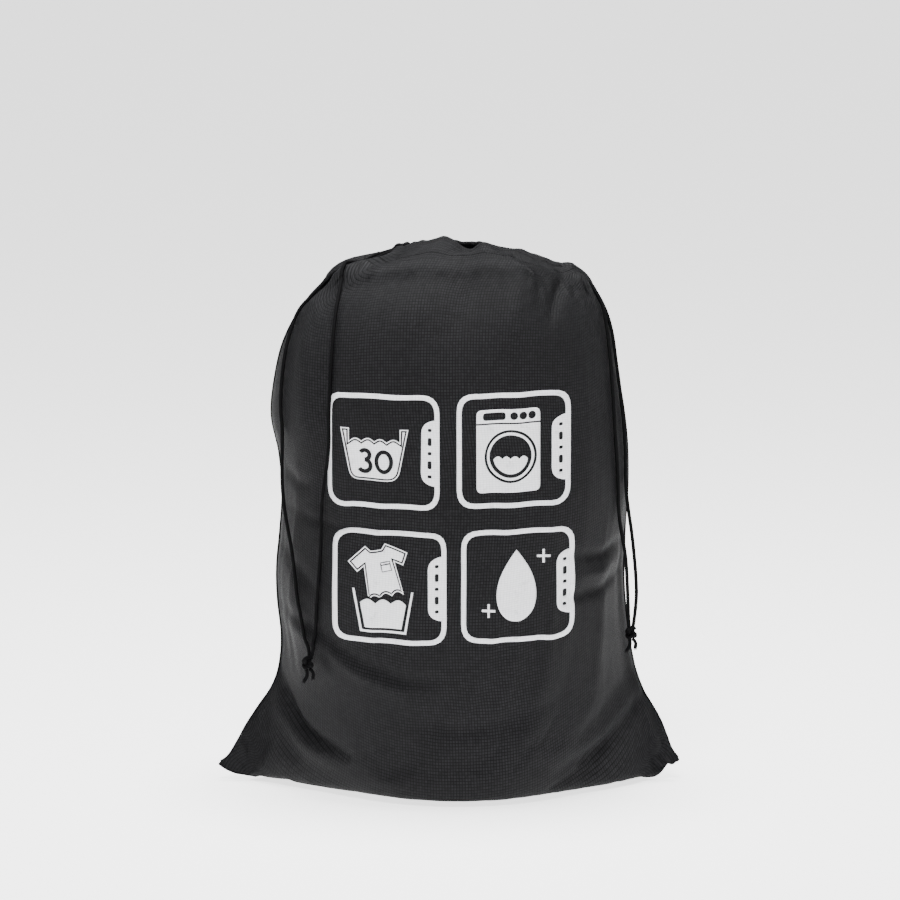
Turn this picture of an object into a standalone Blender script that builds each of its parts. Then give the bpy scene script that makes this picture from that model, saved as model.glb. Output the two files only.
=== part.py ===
"""A stuffed drawstring laundry bag: two sewn panels, hem casings, two drawcords and printed pictograms.

Metres, +Z up, +X to the right seen from the front, the printed front facing -Y. The origin is on the
ground under the middle of the bag.
"""

import bmesh
import bpy
from math import cos, pi, radians, sin
from mathutils import Matrix, Vector

# Driving dimensions
CLOTH = 0.0015            # wall thickness of the panels
GAP = 0.0003              # clearance between neighbouring solids
CORD_R = 0.002            # drawcord radius
SEAM_R = 0.0012           # radius of the sewn seam bead
SEAM_PROUD = 0.0028       # how far the side seams stand out from the panels' edges
SEAM_CLEAR = 0.0018       # half the space that the panels leave for the seam
HEM_HEIGHT = 0.026        # depth of the casing round the mouth
HEM_HALF = 0.0045         # half the outer width of the casing
HEM_WALL = 0.001
PANEL_DROP = 0.0010       # space between the casing's lower edge and the panel under it
TUNNEL_LEVELS = {"left": 0.0065, "right": 0.0130}   # how far each cord lies below the rim
HEM_ROUND = 0.003         # height of the casing's bevelled top edges
HEM_BEVEL = 0.002         # and their width
STITCH_R = 0.0004
STITCH_RISE = 0.003       # how far the stitching lies above the casing's lower edge
INK = 0.0003              # thickness of the printed ink
INK_LIFT = 0.0007         # space between the cloth and the ink solid
COLUMNS = 24              # divisions across a panel
FLAT_LIFT, ROUND_LIFT = 10, 2.5   # how late a row rises towards its ends: rows on the ground, others
TIP_OUT = 0.0034          # how far the side seam stands out round a corner's tip
TIP_BACK, TIP_FOOT = 0.0090, 0.0060   # where it ends under the tip: inwards of it, above the ground
BOTTOM_SEAM_REACH = 0.232
BOTTOM_SEAM_STEPS = 16
FLOOR_GAP = 0.0001

# The bar tacks that close the side seams under the cord exits
TACK_SIZE = (0.0022, 0.008, 0.0010)
TACK_LIFT = 0.0060
TACK_TILT = 30
TACK_PLACE = 0.25

# The mouth ring: its left and right ends, and how deep it is to the front and to the back
MOUTH_LEFT, MOUTH_RIGHT = -0.060, 0.127
MOUTH_FRONT, MOUTH_BACK = 0.042, 0.046
HEM_END_U = 0.84          # the casings stop short of the side seams, which leaves the cord exits
CORD_END_U = 0.93         # each cord's loop runs on past the casings' ends to its exit
HEM_SLANT = 0.60          # how far the casing leans inwards, per metre of its height

# Height of the mouth's rim from left to right, as (x, z)
FRONT_RIM = [(-0.060, 0.649), (-0.030, 0.659), (-0.004, 0.665), (0.017, 0.657), (0.034, 0.661),
             (0.070, 0.648), (0.103, 0.634), (0.127, 0.627)]
BACK_RIM = [(-0.060, 0.649), (-0.020, 0.648), (0.045, 0.647), (0.085, 0.639), (0.127, 0.627)]

# Rows of the panels from the bottom seam up to the casing. Each row holds the panel's depth and
# height at its middle, then x and height at the left seam, x and height at the right seam, and the
# power that pinches its plan curve towards the seams.
PANEL_ROWS = [
    (0.0018, 0.000, -0.2780, 0.021, 0.2780, 0.026, 1.0),
    (0.034, 0.000, -0.2650, 0.031, 0.2680, 0.039, 2.6),
    (0.066, 0.000, -0.2545, 0.048, 0.2620, 0.055, 2.4),
    (0.106, 0.000, -0.2430, 0.070, 0.2540, 0.076, 2.2),
    (0.137, 0.003, -0.2280, 0.093, 0.2430, 0.096, 1.9),
    (0.153, 0.021, -0.2120, 0.115, 0.2300, 0.115, 1.6),
    (0.161, 0.057, -0.2020, 0.141, 0.2190, 0.139, 1.3),
    (0.164, 0.105, -0.1990, 0.178, 0.2120, 0.173, 1.15),
    (0.167, 0.160, -0.2050, 0.220, 0.2070, 0.212, 1.05),
    (0.168, 0.220, -0.2060, 0.262, 0.2050, 0.253, 1.0),
    (0.167, 0.285, -0.2020, 0.305, 0.2080, 0.300, 1.0),
    (0.164, 0.350, -0.1990, 0.352, 0.2130, 0.350, 1.0),
    (0.160, 0.410, -0.2030, 0.402, 0.2130, 0.402, 1.0),
    (0.155, 0.470, -0.2120, 0.446, 0.2090, 0.446, 1.0),
    (0.146, 0.526, -0.2070, 0.494, 0.2010, 0.496, 1.0),
    (0.127, 0.578, -0.1950, 0.541, 0.1930, 0.545, 1.0),
    (0.103, 0.613, -0.1720, 0.582, 0.1820, 0.580, 1.0),
    (0.081, 0.632, -0.1280, 0.614, 0.1620, 0.600, 1.0),
]

# The drawcords' routes as they hang, from the exit over the shoulder and down to the knot
STRANDS = {
    "left_front": [(-0.0760, -0.0065, 0.6390), (-0.0900, -0.0085, 0.6370), (-0.1080, -0.0150, 0.6300),
                   (-0.1240, -0.0330, 0.6190), (-0.1350, -0.0700, 0.5960), (-0.1410, -0.0945, 0.5600),
                   (-0.1445, -0.1080, 0.5200), (-0.1460, -0.1145, 0.4800), (-0.1470, -0.1170, 0.4300),
                   (-0.1500, -0.1170, 0.3700), (-0.1550, -0.1155, 0.3100), (-0.1590, -0.1135, 0.2500),
                   (-0.1615, -0.1085, 0.2050), (-0.1645, -0.1030, 0.1755)],
    "left_back": [(-0.0760, 0.0065, 0.6390), (-0.0920, 0.0060, 0.6370), (-0.1150, 0.0040, 0.6290),
                  (-0.1430, -0.0010, 0.6140), (-0.1670, -0.0110, 0.5930), (-0.1860, -0.0260, 0.5620),
                  (-0.1970, -0.0420, 0.5240), (-0.2020, -0.0530, 0.4800), (-0.2010, -0.0610, 0.4300),
                  (-0.1975, -0.0670, 0.3700), (-0.1925, -0.0750, 0.3100), (-0.1855, -0.0850, 0.2500),
                  (-0.1785, -0.0935, 0.2050), (-0.1700, -0.1010, 0.1755)],
    "right_front": [(0.1440, -0.0065, 0.6100), (0.1560, -0.0080, 0.6080), (0.1690, -0.0130, 0.6010),
                    (0.1815, -0.0215, 0.5850), (0.1900, -0.0320, 0.5560), (0.1945, -0.0430, 0.5200),
                    (0.1970, -0.0530, 0.4800), (0.1995, -0.0620, 0.4300), (0.2035, -0.0620, 0.3700),
                    (0.2075, -0.0580, 0.3160), (0.2105, -0.0530, 0.2700), (0.2125, -0.0480, 0.2300),
                    (0.2140, -0.0430, 0.1995)],
    "right_back": [(0.1440, 0.0065, 0.6100), (0.1570, 0.0060, 0.6080), (0.1720, 0.0030, 0.6000),
                   (0.1865, -0.0020, 0.5830), (0.1975, -0.0100, 0.5540), (0.2040, -0.0200, 0.5200),
                   (0.2090, -0.0290, 0.4800), (0.2130, -0.0370, 0.4200), (0.2155, -0.0410, 0.3600),
                   (0.2185, -0.0430, 0.3000), (0.2220, -0.0430, 0.2560), (0.2225, -0.0415, 0.2300),
                   (0.2195, -0.0400, 0.1995)],
}
SWING_Z = 0.545           # height of the axes about which the hanging strands swing
STRAND_STEP = 0.014       # length of a straight stretch of the cords' solids
KNOTS = {"left": (-0.1673, -0.1015, 0.1640), "right": (0.2168, -0.0410, 0.1880)}
KNOT_SIZE = (0.0075, 0.0065, 0.0095)
TAILS = {"left_front": (-0.0035, -0.004, -0.016), "left_back": (0.0045, 0.002, -0.014),
         "right_front": (-0.0045, -0.003, -0.016), "right_back": (0.0035, 0.002, -0.014)}

# The printed squares: centres on the front, as (x, z), and their common size
PRINTS = {"tub": (-0.078, 0.426), "washer": (0.076, 0.428),
          "soak": (-0.070, 0.266), "drop": (0.081, 0.268)}
PRINT_HALF = 0.067
PRINT_LINE = 0.0057
PRINT_CORNER = 0.017
TAB_WIDTH, TAB_HALF = 0.022, 0.037   # the filled tab on a square's right edge

# Each pictogram's outline: half widths spread evenly from its foot to its top, the heights of its
# foot and top above the square's centre, and how far it sits to the right of that centre
SYMBOLS = {
    "tub": ([0.023, 0.026, 0.029, 0.032], -0.026, 0.020, -0.010),
    "washer": ([0.027, 0.027, 0.027, 0.027, 0.027], -0.045, 0.048, -0.010),
    "soak": ([0.022, 0.024, 0.026, 0.015, 0.015, 0.027, 0.012], -0.046, 0.046, -0.010),
    "drop": ([0.008, 0.021, 0.026, 0.025, 0.019, 0.012, 0.003], -0.040, 0.040, -0.004),
}


def clear_scene():
    for item in list(bpy.data.objects):
        bpy.data.objects.remove(item)


def make_collection(name):
    group = bpy.data.collections.new(name)
    bpy.context.scene.collection.children.link(group)
    return group


def make_material(name, colour, roughness):
    material = bpy.data.materials.new(name)
    material.use_nodes = True
    shader = material.node_tree.nodes["Principled BSDF"]
    shader.inputs["Base Color"].default_value = (*colour, 1.0)
    shader.inputs["Roughness"].default_value = roughness
    shader.inputs["Metallic"].default_value = 0.0
    return material


def add_object(name, data, group, material):
    item = bpy.data.objects.new(name, data)
    item.data.materials.append(material)
    group.objects.link(item)
    return item


def mesh_from(name, verts, faces):
    mesh = bpy.data.meshes.new(name)
    mesh.from_pydata([tuple(v) for v in verts], [], faces)
    work = bmesh.new()
    work.from_mesh(mesh)
    bmesh.ops.recalc_face_normals(work, faces=work.faces)
    work.to_mesh(mesh)
    work.free()
    mesh.shade_smooth()
    mesh.set_sharp_from_angle(angle=radians(40))
    return mesh


def smooth_curve(points, fraction):
    """A point on the Catmull-Rom curve through the points, at a fraction from 0 to 1."""
    place = min(max(fraction, 0.0), 1.0) * (len(points) - 1)
    i = min(int(place), len(points) - 2)
    t = place - i
    p1, p2 = Vector(points[i]), Vector(points[i + 1])
    p0 = Vector(points[i - 1]) if i > 0 else 2 * p1 - p2
    p3 = Vector(points[i + 2]) if i + 2 < len(points) else 2 * p2 - p1
    bend = (2 * p0 - 5 * p1 + 4 * p2 - p3) * t + (3 * p1 - p0 - 3 * p2 + p3) * t * t
    return p1 + 0.5 * t * ((p2 - p0) + bend)


def height_at(profile, x):
    """The height of an (x, z) profile at x, smoothed between its points."""
    if x <= profile[0][0]:
        return profile[0][1]
    for (x0, z0), (x1, z1) in zip(profile, profile[1:]):
        if x <= x1:
            t = (x - x0) / (x1 - x0)
            t = t * t * (3 - 2 * t)
            return z0 + (z1 - z0) * t
    return profile[-1][1]


def ring_point(side, u, out=0.0, down=0.0):
    """A point of the mouth's rim: side -1 is the front, u runs from -1 at the left to 1."""
    angle = u * pi / 2
    middle = (MOUTH_LEFT + MOUTH_RIGHT) / 2
    half = (MOUTH_RIGHT - MOUTH_LEFT) / 2
    depth = MOUTH_FRONT if side < 0 else MOUTH_BACK
    x = middle + half * sin(angle)
    normal = Vector((sin(angle) / half, side * cos(angle) / depth)).normalized()
    out += down * HEM_SLANT
    z = height_at(FRONT_RIM if side < 0 else BACK_RIM, x)
    y = side * depth * cos(angle)
    return Vector((x + normal.x * out, y + normal.y * out, z - down))


def ring_row(side, columns):
    """The panel's top row, just under the outer wall of the casing, kept clear of the side seam."""
    row = []
    for i in range(columns + 1):
        u = -1 + 2 * i / columns
        p = ring_point(side, u, HEM_HALF, HEM_HEIGHT + PANEL_DROP)
        p.y = side * max(abs(p.y), SEAM_CLEAR)
        row.append(p)
    return row


def lower_row(side, row, columns):
    """One row of a panel from its figures in PANEL_ROWS."""
    depth, mid_z, left, left_z, right, right_z, pinch = row
    points = []
    for i in range(columns + 1):
        angle = (-1 + 2 * i / columns) * pi / 2
        x = (left + right) / 2 + (right - left) / 2 * sin(angle)
        swell = abs(cos(angle)) ** pinch
        y = SEAM_CLEAR + (depth - SEAM_CLEAR) * swell
        edge_z = left_z if angle < 0 else right_z
        lift = abs(sin(angle)) ** (FLAT_LIFT if mid_z == 0 else ROUND_LIFT)
        points.append(Vector((x, side * y, mid_z + (edge_z - mid_z) * lift)))
    return points


def panel_rows(side, columns=COLUMNS):
    rows = [lower_row(side, row, columns) for row in PANEL_ROWS]
    rows.append(ring_row(side, columns))
    return rows


def make_panel(name, side, group, material):
    rows = panel_rows(side)
    verts = [p for row in rows for p in row]
    wide = COLUMNS + 1
    faces = []
    for r in range(len(rows) - 1):
        for c in range(COLUMNS):
            a = r * wide + c
            face = (a, a + 1, a + wide + 1, a + wide)
            faces.append(face if side < 0 else face[::-1])
    mesh = bpy.data.meshes.new(name)
    mesh.from_pydata([tuple(v) for v in verts], [], faces)
    mesh.shade_smooth()
    panel = add_object(name, mesh, group, material)
    thick = panel.modifiers.new("cloth", "SOLIDIFY")
    thick.thickness = CLOTH
    thick.offset = -1
    return panel


def make_hem(name, side, group, material):
    """The casing: an upside-down U of cloth swept along the mouth, open below."""
    w, h, inner = HEM_HALF, HEM_HEIGHT, HEM_HALF - HEM_WALL
    flat, low = w - HEM_BEVEL, HEM_ROUND + HEM_WALL / 2
    inner_flat = flat - HEM_WALL / 2
    outline = [(w, h), (w, HEM_ROUND), (flat, 0.0), (-flat, 0.0), (-w, HEM_ROUND), (-w, h),
               (-inner, h), (-inner, low), (-inner_flat, HEM_WALL), (inner_flat, HEM_WALL),
               (inner, low), (inner, h)]
    count = len(outline)
    verts, faces = [], []
    for i in range(COLUMNS + 1):
        u = HEM_END_U * (-1 + 2 * i / COLUMNS)
        verts += [ring_point(side, u, out, down) for out, down in outline]
    for i in range(COLUMNS):
        for j in range(count):
            a, b = i * count + j, i * count + (j + 1) % count
            faces.append((a, b, b + count, a + count))
    faces.append(tuple(range(count)))
    faces.append(tuple(COLUMNS * count + j for j in range(count)))
    return add_object(name, mesh_from(name, verts, faces), group, material)


def make_tube(name, points, radius, group, material, resolution=2):
    curve = bpy.data.curves.new(name, "CURVE")
    curve.dimensions = "3D"
    curve.bevel_depth = radius
    curve.bevel_resolution = resolution
    curve.use_fill_caps = True
    spline = curve.splines.new("POLY")
    spline.points.add(len(points) - 1)
    for slot, p in zip(spline.points, points):
        slot.co = (*p, 1.0)
    spline.use_smooth = True
    return add_object(name, curve, group, material)


def fine_curve(points, steps=400):
    """The smooth curve through the points, finely divided."""
    return [smooth_curve(points, i / steps) for i in range(steps + 1)]


def spread(fine, spacing):
    """Evenly spread points along a finely divided line."""
    total = sum((b - a).length for a, b in zip(fine, fine[1:]))
    count = max(int(round(total / spacing)), 2)
    result, walked = [fine[0]], 0.0
    for a, b in zip(fine, fine[1:]):
        walked += (b - a).length
        if walked >= total / count * len(result) and len(result) < count:
            result.append(b)
    result.append(fine[-1])
    return result


def side_seam_route(side):
    """The line of a side seam, from under the cord exit down and round the corner's tip."""
    index = 2 if side < 0 else 4
    top = ring_row(-1, COLUMNS)[0 if side < 0 else -1]
    route = [Vector((top.x, 0.0, top.z - 0.002))]
    for row in reversed(PANEL_ROWS[1:]):
        route.append(Vector((row[index] + side * SEAM_PROUD, 0.0, row[index + 1])))
    tip_x, tip_z = PANEL_ROWS[0][index], PANEL_ROWS[0][index + 1]
    route.append(Vector((tip_x + side * TIP_OUT, 0.0, tip_z)))
    route.append(Vector((tip_x - side * TIP_BACK, 0.0, TIP_FOOT)))
    return route


def make_seams(group, material):
    for name, side in (("left_side_seam", -1), ("right_side_seam", 1)):
        make_tube(name, side_seam_route(side), SEAM_R, group, material)
    steps = [-1 + 2 * i / BOTTOM_SEAM_STEPS for i in range(BOTTOM_SEAM_STEPS + 1)]
    line = [(BOTTOM_SEAM_REACH * step, 0.0, SEAM_R + FLOOR_GAP) for step in steps]
    make_tube("bottom_seam", line, SEAM_R, group, material)


def make_stitching(group, material):
    for name, side in (("front_hem_stitching", -1), ("back_hem_stitching", 1)):
        out = HEM_HALF + 2 * GAP + STITCH_R
        down = HEM_HEIGHT - STITCH_RISE
        line = [ring_point(side, HEM_END_U * (-1 + 2 * i / COLUMNS), out, down) for i in range(1, COLUMNS)]
        make_tube(name, line, STITCH_R, group, material, 1)


def make_bartacks(group, material):
    for name, side in (("left_exit_bartack", -1), ("right_exit_bartack", 1)):
        place = smooth_curve(side_seam_route(side)[:3], TACK_PLACE)
        mesh = bpy.data.meshes.new(name)
        work = bmesh.new()
        bmesh.ops.create_cube(work, size=1.0, matrix=Matrix.Diagonal((*TACK_SIZE, 1.0)))
        work.to_mesh(mesh)
        work.free()
        tack = add_object(name, mesh, group, material)
        tack.location = (place.x, 0.0, place.z + TACK_LIFT)
        tack.rotation_euler = (0.0, radians(TACK_TILT) * side, 0.0)


def lead_in(strand):
    """The last straight stretch of a loop before its exit, in line with the strand that follows."""
    start = Vector(strand[0])
    ahead = (Vector(strand[1]) - start).normalized()
    return [start - ahead * GAP, start - ahead * 2 * CORD_R]


def make_tunnel_cords(group, material):
    """The loop of each drawcord inside the casings: it starts and ends at its own exit."""
    for side_name, side in (("left", -1), ("right", 1)):
        level = TUNNEL_LEVELS[side_name]
        steps = [side * CORD_END_U * (1 - 2 * i / COLUMNS) for i in range(COLUMNS + 1)]
        front = [ring_point(-1, u, 0.0, level) for u in steps]
        back = [ring_point(1, u, 0.0, level) for u in steps]
        far = ring_point(-1, -side, 0.0, level)
        leads = [lead_in(STRANDS[f"{side_name}_{face}"]) for face in ("front", "back")]
        route = leads[0] + front + [far] + back[::-1] + leads[1][::-1]
        make_tube(f"{side_name}_tunnel_cord", route, CORD_R, group, material)


def make_strands(group, material):
    """Each hanging strand in two lengths, which meet on the axis that the lower one swings about."""
    for name, route in STRANDS.items():
        fine = fine_curve(route)
        cut = min(range(len(fine)), key=lambda i: abs(fine[i].z - SWING_Z))
        upper, lower = spread(fine[: cut + 1], STRAND_STEP), spread(fine[cut:], STRAND_STEP)
        upper[-1] = upper[-1] + (upper[-2] - upper[-1]).normalized() * GAP / 2
        lower[0] = lower[0] + (lower[1] - lower[0]).normalized() * GAP / 2
        make_tube(f"{name}_upper_strand", upper, CORD_R, group, material)
        make_tube(f"{name}_lower_strand", lower, CORD_R, group, material)


def make_knots(group, material):
    """Each knot as a rounded lump of its outer size."""
    for side_name, centre in KNOTS.items():
        mesh = bpy.data.meshes.new(f"{side_name}_knot")
        work = bmesh.new()
        size = Matrix.Diagonal((*KNOT_SIZE, 1.0))
        bmesh.ops.create_icosphere(work, subdivisions=2, radius=1.0, matrix=size)
        work.to_mesh(mesh)
        work.free()
        mesh.shade_smooth()
        knot = add_object(f"{side_name}_knot", mesh, group, material)
        knot.location = centre
    for name, reach in TAILS.items():
        centre = Vector(KNOTS[name.split("_")[0]])
        direction = Vector(reach).normalized()
        start = centre + direction * (KNOT_SIZE[2] + GAP)
        line = [start + Vector(reach) * i / 4 for i in range(5)]
        make_tube(f"{name}_tail", line, CORD_R, group, material)


def front_place(rows, x, z):
    """Where a flat front view's (x, z) meets the front panel: the point and its outward normal."""
    best = None
    for lower, upper in zip(rows, rows[1:]):
        for i in range(COLUMNS):
            a, b, c, d = lower[i], lower[i + 1], upper[i + 1], upper[i]
            if not (min(a.x, d.x) <= x <= max(b.x, c.x)):
                continue
            if not (min(a.z, b.z) <= z <= max(c.z, d.z)):
                continue
            s = t = 0.5
            for _ in range(8):
                p = (a * (1 - s) + b * s) * (1 - t) + (d * (1 - s) + c * s) * t
                across = (b - a) * (1 - t) + (c - d) * t
                along = (d - a) * (1 - s) + (c - b) * s
                det = across.x * along.z - across.z * along.x
                dx, dz = x - p.x, z - p.z
                s += (dx * along.z - dz * along.x) / det
                t += (across.x * dz - across.z * dx) / det
            miss = max(abs(s - 0.5), abs(t - 0.5))
            if best is None or miss < best[0]:
                best = (miss, p, across.cross(along).normalized())
    return best[1], best[2]


def print_layer(name, rows, verts, faces, group, material):
    """A flat drawing laid on the front panel as a thin layer of ink."""
    placed = []
    for x, z in verts:
        p, normal = front_place(rows, x, z)
        placed.append(p + normal * INK_LIFT)
    mesh = bpy.data.meshes.new(name)
    mesh.from_pydata([tuple(p) for p in placed], [], faces)
    work = bmesh.new()
    work.from_mesh(mesh)
    bmesh.ops.recalc_face_normals(work, faces=work.faces)
    if sum((f.normal.y for f in work.faces)) > 0:
        bmesh.ops.reverse_faces(work, faces=work.faces)
    work.to_mesh(mesh)
    work.free()
    layer = add_object(name, mesh, group, material)
    thick = layer.modifiers.new("ink", "SOLIDIFY")
    thick.thickness = INK
    thick.offset = 1
    return layer


def rounded_square(half, corner, side_points=6, corner_points=4):
    """The outline of a square with round corners, as (x, z) about its centre."""
    outline = []
    flat = half - corner
    centres = [(flat, flat), (-flat, flat), (-flat, -flat), (flat, -flat)]
    for k, (cx, cz) in enumerate(centres):
        for i in range(corner_points + 1):
            angle = (k + i / corner_points) * pi / 2
            outline.append((cx + corner * cos(angle), cz + corner * sin(angle)))
        (x0, z0), (nx, nz) = outline[-1], centres[(k + 1) % 4]
        x1, z1 = nx + corner * cos(angle), nz + corner * sin(angle)
        for i in range(1, side_points):
            t = i / side_points
            outline.append((x0 + (x1 - x0) * t, z0 + (z1 - z0) * t))
    return outline


def make_print_frames(rows, group, material):
    for name, (cx, cz) in PRINTS.items():
        outer = rounded_square(PRINT_HALF, PRINT_CORNER)
        inner = []
        for x, z in rounded_square(PRINT_HALF - PRINT_LINE, PRINT_CORNER - PRINT_LINE):
            reach = PRINT_HALF - TAB_WIDTH
            inner.append((reach, z) if x > reach and abs(z) < TAB_HALF else (x, z))
        middle = [((a + c) / 2, (b + d) / 2) for (a, b), (c, d) in zip(outer, inner)]
        verts = [(cx + x, cz + z) for x, z in outer + middle + inner]
        count = len(outer)
        faces = [(k + i, k + (i + 1) % count, k + (i + 1) % count + count, k + i + count)
                 for k in (0, count) for i in range(count)]
        print_layer(f"{name}_print_frame", rows, verts, faces, group, material)


def grid_drawing(half_widths, low, high, centre, columns=4):
    """A filled shape as rows of points: half widths spread evenly from its foot to its top."""
    cx, cz = centre
    verts, faces = [], []
    steps = len(half_widths) - 1
    for r, half in enumerate(half_widths):
        z = cz + low + (high - low) * r / steps
        verts += [(cx + half * (-1 + 2 * c / columns), z) for c in range(columns + 1)]
    wide = columns + 1
    for r in range(steps):
        faces += [(r * wide + c, r * wide + c + 1, (r + 1) * wide + c + 1, (r + 1) * wide + c)
                  for c in range(columns)]
    return verts, faces


def make_print_symbols(rows, group, material):
    """The pictograms' outer shapes: a wash tub, a washing machine, a soaking shirt and a drop."""
    for name, (widths, low, high, shift) in SYMBOLS.items():
        cx, cz = PRINTS[name]
        verts, faces = grid_drawing(widths, low, high, (cx + shift, cz))
        print_layer(f"{name}_print_symbol", rows, verts, faces, group, material)


def main():
    clear_scene()
    group = make_collection("laundry_bag")
    cloth = make_material("black_polyester", (0.035, 0.035, 0.038), 0.62)
    seam = make_material("seam_thread", (0.018, 0.018, 0.019), 0.70)
    cord = make_material("black_cord", (0.012, 0.012, 0.012), 0.60)
    ink = make_material("white_ink", (0.78, 0.78, 0.80), 0.50)
    make_panel("front_panel", -1, group, cloth)
    make_panel("back_panel", 1, group, cloth)
    make_hem("front_hem", -1, group, cloth)
    make_hem("back_hem", 1, group, cloth)
    make_seams(group, seam)
    make_stitching(group, seam)
    make_bartacks(group, seam)
    make_tunnel_cords(group, cord)
    make_strands(group, cord)
    make_knots(group, cord)
    rows = panel_rows(-1)
    make_print_frames(rows, group, ink)
    make_print_symbols(rows, group, ink)


main()
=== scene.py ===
from math import cos, pi, radians, sin

import bpy
import numpy as np
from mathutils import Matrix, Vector
from mathutils.bvhtree import BVHTree
from mathutils.geometry import barycentric_transform, delaunay_2d_cdt


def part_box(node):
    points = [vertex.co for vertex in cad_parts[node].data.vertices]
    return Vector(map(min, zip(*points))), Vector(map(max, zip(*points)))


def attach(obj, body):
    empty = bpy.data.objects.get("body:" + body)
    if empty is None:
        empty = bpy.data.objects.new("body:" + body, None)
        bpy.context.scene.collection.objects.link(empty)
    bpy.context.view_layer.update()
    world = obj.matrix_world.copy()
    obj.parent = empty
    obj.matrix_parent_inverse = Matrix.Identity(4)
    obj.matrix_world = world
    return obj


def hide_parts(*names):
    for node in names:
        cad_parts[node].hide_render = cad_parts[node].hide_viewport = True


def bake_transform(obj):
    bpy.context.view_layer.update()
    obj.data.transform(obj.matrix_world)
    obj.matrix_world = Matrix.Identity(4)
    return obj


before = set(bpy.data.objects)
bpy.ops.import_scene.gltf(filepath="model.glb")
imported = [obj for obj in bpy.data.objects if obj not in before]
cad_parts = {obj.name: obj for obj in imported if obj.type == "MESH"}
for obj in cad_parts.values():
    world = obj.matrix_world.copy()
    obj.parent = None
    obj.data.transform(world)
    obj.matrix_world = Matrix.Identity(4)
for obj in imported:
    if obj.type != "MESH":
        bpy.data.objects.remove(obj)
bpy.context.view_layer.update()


def metres(table):
    """A table of points in millimetres, in metres."""
    return np.array(table) / 1000


# ---- sizes, as in part.py
CORD_R = 0.0021               # the CAD's 0.0020 and the swell of the braid
HEM_HEIGHT = 0.026
HEM_HALF = 0.0045
HEM_SLANT = 0.60
HEM_END_U = 0.84
MOUTH_LEFT, MOUTH_RIGHT = -0.060, 0.127
MOUTH_DEPTHS = {-1: 0.042, 1: 0.046}   # to the front (side -1) and to the back (side 1)
LINK_Z = 0.500                # where a strand's upper piece is tied into its lower one
KNOTS = {"left": (-0.1673, -0.1015, 0.1640), "right": (0.2168, -0.0410, 0.1880)}
KNOT_SIZE = (0.0075, 0.0065, 0.0095)
TAILS = {"left_front": (-0.0035, -0.004, -0.016), "left_back": (0.0045, 0.002, -0.014),
         "right_front": (-0.0045, -0.003, -0.016), "right_back": (0.0035, 0.002, -0.014)}
TUNNEL_LEVELS = {"left": 0.0065, "right": 0.0130}
CORD_END_U = 0.93
RIMS = {-1: metres([(-60, 649), (-30, 659), (-4, 665), (17, 657), (34, 661), (70, 648), (103, 634),
                    (127, 627)]),
        1: metres([(-60, 649), (-20, 648), (45, 647), (85, 639), (127, 627)])}
SEAM_DEPTH = 0.0018
FLOOR_POWER, SIDE_POWER = 10, 2.5   # how late a row turns from its middle's height to its seams'

# Rows of the panels: depth and height in the middle, x and height at the left and at the right seam,
# and last, with no unit, the power that pinches the plan curve towards the seams.
PANEL_ROWS = [
    (1.8, 0, -278, 21, 278, 26, 1.0), (34, 0, -265, 31, 268, 39, 2.6),
    (66, 0, -254.5, 48, 262, 55, 2.4), (106, 0, -243, 70, 254, 76, 2.2),
    (137, 3, -228, 93, 243, 96, 1.9), (153, 21, -212, 115, 230, 115, 1.6),
    (161, 57, -202, 141, 219, 139, 1.3), (164, 105, -199, 178, 212, 173, 1.15),
    (167, 160, -205, 220, 207, 212, 1.05), (168, 220, -206, 262, 205, 253, 1.0),
    (167, 285, -202, 305, 208, 300, 1.0), (164, 350, -199, 352, 213, 350, 1.0),
    (160, 410, -203, 402, 213, 402, 1.0), (155, 470, -212, 446, 209, 446, 1.0),
    (146, 526, -207, 494, 201, 496, 1.0), (127, 578, -195, 541, 193, 545, 1.0),
    (103, 613, -172, 582, 182, 580, 1.0), (81, 632, -128, 614, 162, 600, 1.0),
]
STRANDS = {
    "left_front": [(-76, -6.5, 639), (-90, -8.5, 637), (-108, -15, 630), (-124, -33, 619), (-135, -70, 596),
        (-141, -94.5, 560), (-144.5, -108, 520), (-146, -114.5, 480), (-147, -117, 430), (-150, -117, 370),
        (-155, -115.5, 310), (-159, -113.5, 250), (-161.5, -108.5, 205), (-164.5, -103, 175.5)],
    "left_back": [(-76, 6.5, 639), (-92, 6, 637), (-115, 4, 629), (-143, -1, 614), (-167, -11, 593),
        (-186, -26, 562), (-197, -42, 524), (-202, -53, 480), (-201, -61, 430), (-197.5, -67, 370),
        (-192.5, -75, 310), (-185.5, -85, 250), (-178.5, -93.5, 205), (-170, -101, 175.5)],
    "right_front": [(144, -6.5, 610), (156, -8, 608), (169, -13, 601), (181.5, -21.5, 585), (190, -32, 556),
        (194.5, -43, 520), (197, -53, 480), (199.5, -62, 430), (203.5, -62, 370), (207.5, -58, 316),
        (210.5, -53, 270), (212.5, -48, 230), (214, -43, 199.5)],
    "right_back": [(144, 6.5, 610), (157, 6, 608), (172, 3, 600), (186.5, -2, 583), (197.5, -10, 554),
        (204, -20, 520), (209, -29, 480), (213, -37, 420), (215.5, -41, 360), (218.5, -43, 300),
        (222, -43, 256), (222.5, -41.5, 230), (219.5, -40, 199.5)],
}

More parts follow.
